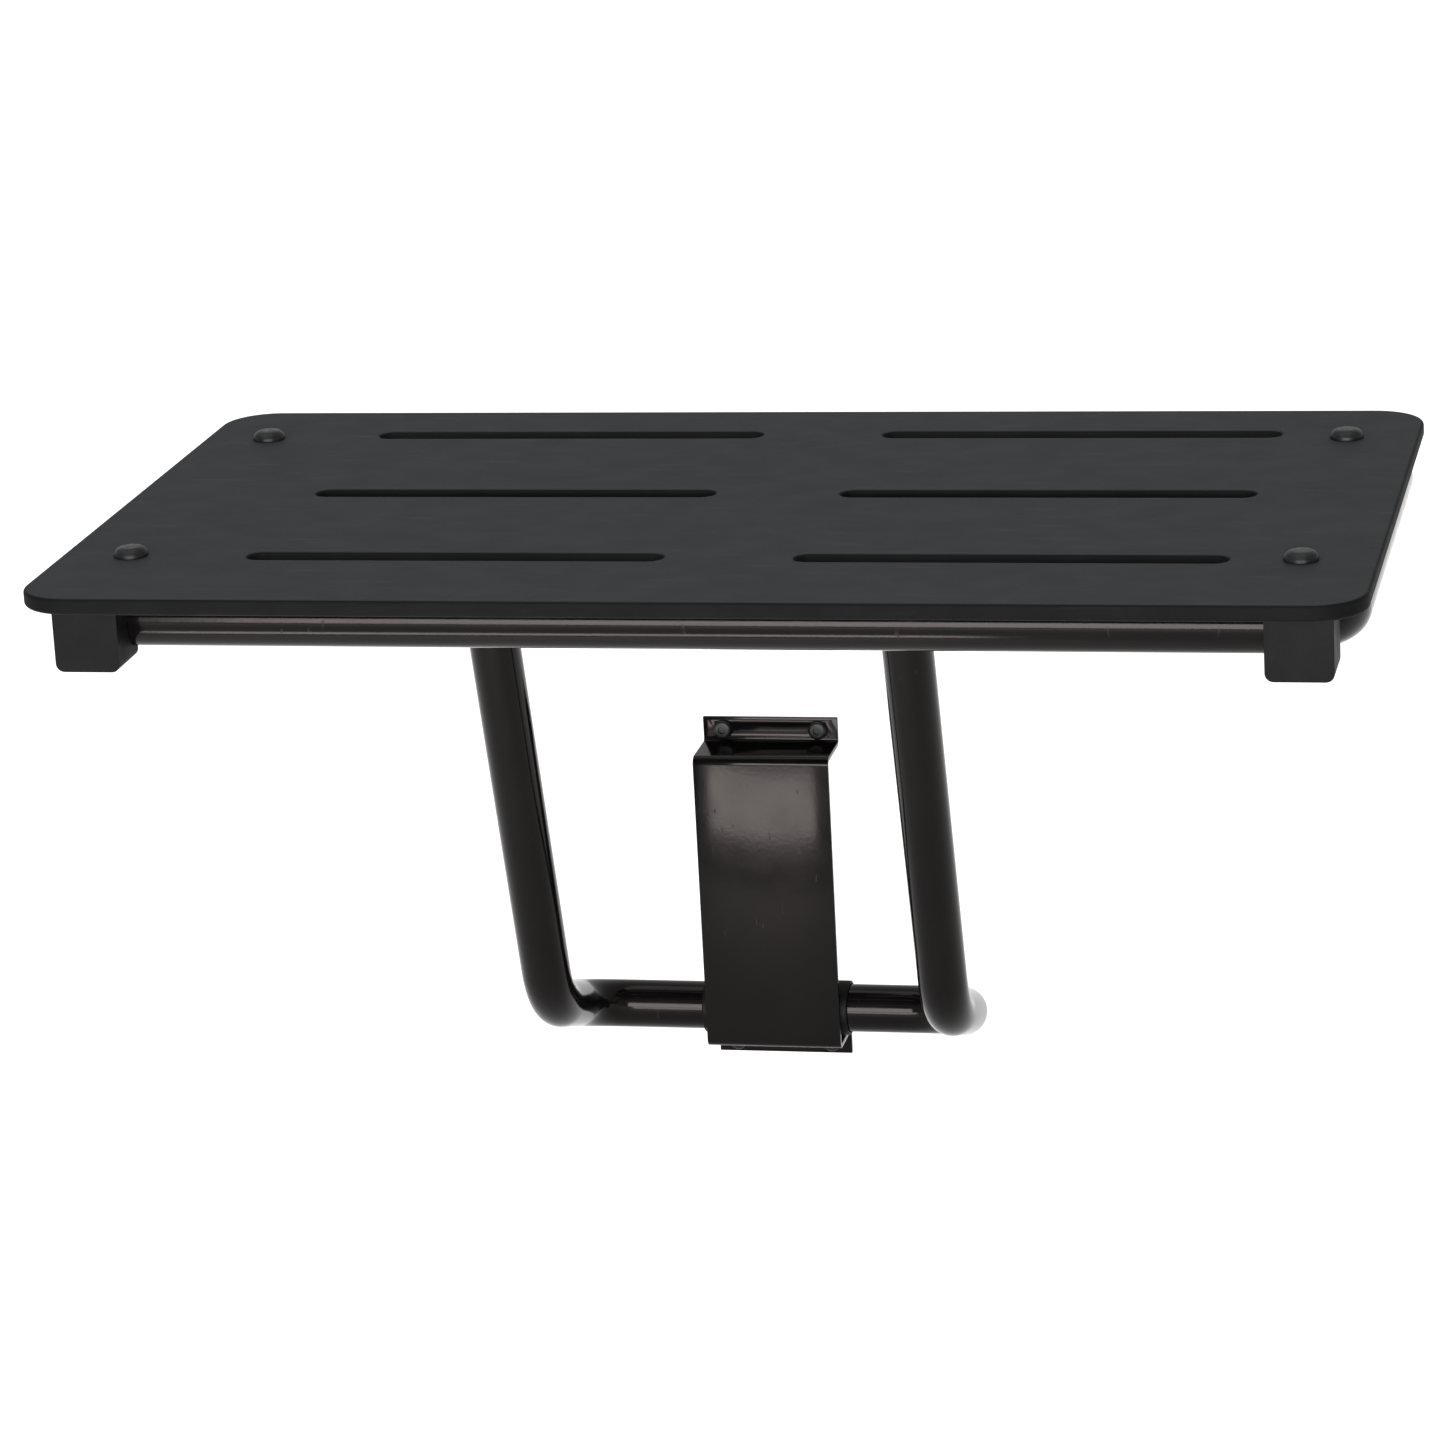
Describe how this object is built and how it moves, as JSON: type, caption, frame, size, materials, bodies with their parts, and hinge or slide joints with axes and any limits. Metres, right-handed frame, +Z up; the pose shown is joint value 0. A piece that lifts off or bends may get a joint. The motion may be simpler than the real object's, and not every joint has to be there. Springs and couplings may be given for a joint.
{
  "type": "fold-up wall seat",
  "caption": "Wall-mounted fold-up seat: slotted panel on a round-tube frame, with a U-shaped tube leg whose bar slides in a wall guide.",
  "frame": {"origin": "on the wall face, at the middle of the seat's width, level with the top of the seat when it is down", "axes": "+X to the right seen from the room, +Y into the wall, +Z up"},
  "size_m": [0.62, 0.385, 0.3612],
  "materials": {
    "phenolic": "matte solid panel with darker machined edges",
    "coated_tube": "black satin coating",
    "nylon": "moulded black",
    "fasteners": "black satin"
  },
  "bodies": {
    "wall_fittings": {"wall_hinge_left": "coated_tube", "hinge_pin_left": "fasteners", "hinge_clip_left": "fasteners", "hinge_screw_left_1": "fasteners", "hinge_screw_left_2": "fasteners", "hinge_screw_left_3": "fasteners", "hinge_screw_left_4": "fasteners", "wall_hinge_right": "coated_tube", "hinge_pin_right": "fasteners", "hinge_clip_right": "fasteners", "hinge_screw_right_1": "fasteners", "hinge_screw_right_2": "fasteners", "hinge_screw_right_3": "fasteners", "hinge_screw_right_4": "fasteners", "guide_bracket": "coated_tube", "guide_screw_top_left": "fasteners", "guide_screw_top_right": "fasteners", "guide_screw_bottom_left": "fasteners", "guide_screw_bottom_right": "fasteners"},
    "seat": {"seat_panel": "phenolic", "seat_bolt_front_left": "fasteners", "seat_nut_front_left": "fasteners", "frame_tab_front_left": "coated_tube", "seat_bolt_front_right": "fasteners", "seat_nut_front_right": "fasteners", "frame_tab_front_right": "coated_tube", "seat_bolt_rear_left": "fasteners", "seat_nut_rear_left": "fasteners", "frame_tab_rear_left": "coated_tube", "seat_bolt_rear_right": "fasteners", "seat_nut_rear_right": "fasteners", "frame_tab_rear_right": "coated_tube", "frame_front_tube": "coated_tube", "frame_cross_tube": "coated_tube", "frame_rear_tube_left": "coated_tube", "frame_plug_left": "nylon", "bumper_block_left": "nylon", "bumper_screw_left": "fasteners", "hinge_barrel_left": "coated_tube", "hinge_bush_left_inner": "nylon", "hinge_bush_left_outer": "nylon", "hook_lug_left_a": "coated_tube", "hook_lug_left_b": "coated_tube", "frame_rear_tube_right": "coated_tube", "frame_plug_right": "nylon", "bumper_block_right": "nylon", "bumper_screw_right": "fasteners", "hinge_barrel_right": "coated_tube", "hinge_bush_right_inner": "nylon", "hinge_bush_right_outer": "nylon", "hook_lug_right_a": "coated_tube", "hook_lug_right_b": "coated_tube"},
    "guide_shoe": {"guide_sleeve": "nylon"},
    "leg": {"leg_eye_left": "fasteners", "leg_pin_left": "fasteners", "leg_eye_right": "fasteners", "leg_pin_right": "fasteners", "leg_tube": "coated_tube"}
  },
  "joints": [
    {"name": "seat_fold", "type": "hinge", "parent": "wall_fittings", "child": "seat", "pos_m": [0, -0.026, -0.021], "axis": [-1, 0, 0], "range_deg": [0, 90]},
    {"name": "guide_slide", "type": "slide", "parent": "wall_fittings", "child": "guide_shoe", "axis": [0, 0, 1], "range_m": [0, 0.12583]},
    {"name": "leg_swing", "type": "hinge", "parent": "guide_shoe", "child": "leg", "pos_m": [-0.037, -0.01525, -0.326], "axis": [-1, 0, 0], "range_deg": [0, 24.18]}
  ],
  "couplings": [
    {"joint": "guide_slide", "follows": "seat_fold", "m_per_rad": 0.080107},
    {"joint": "leg_swing", "follows": "seat_fold", "ratio": 0.2687}
  ]
}
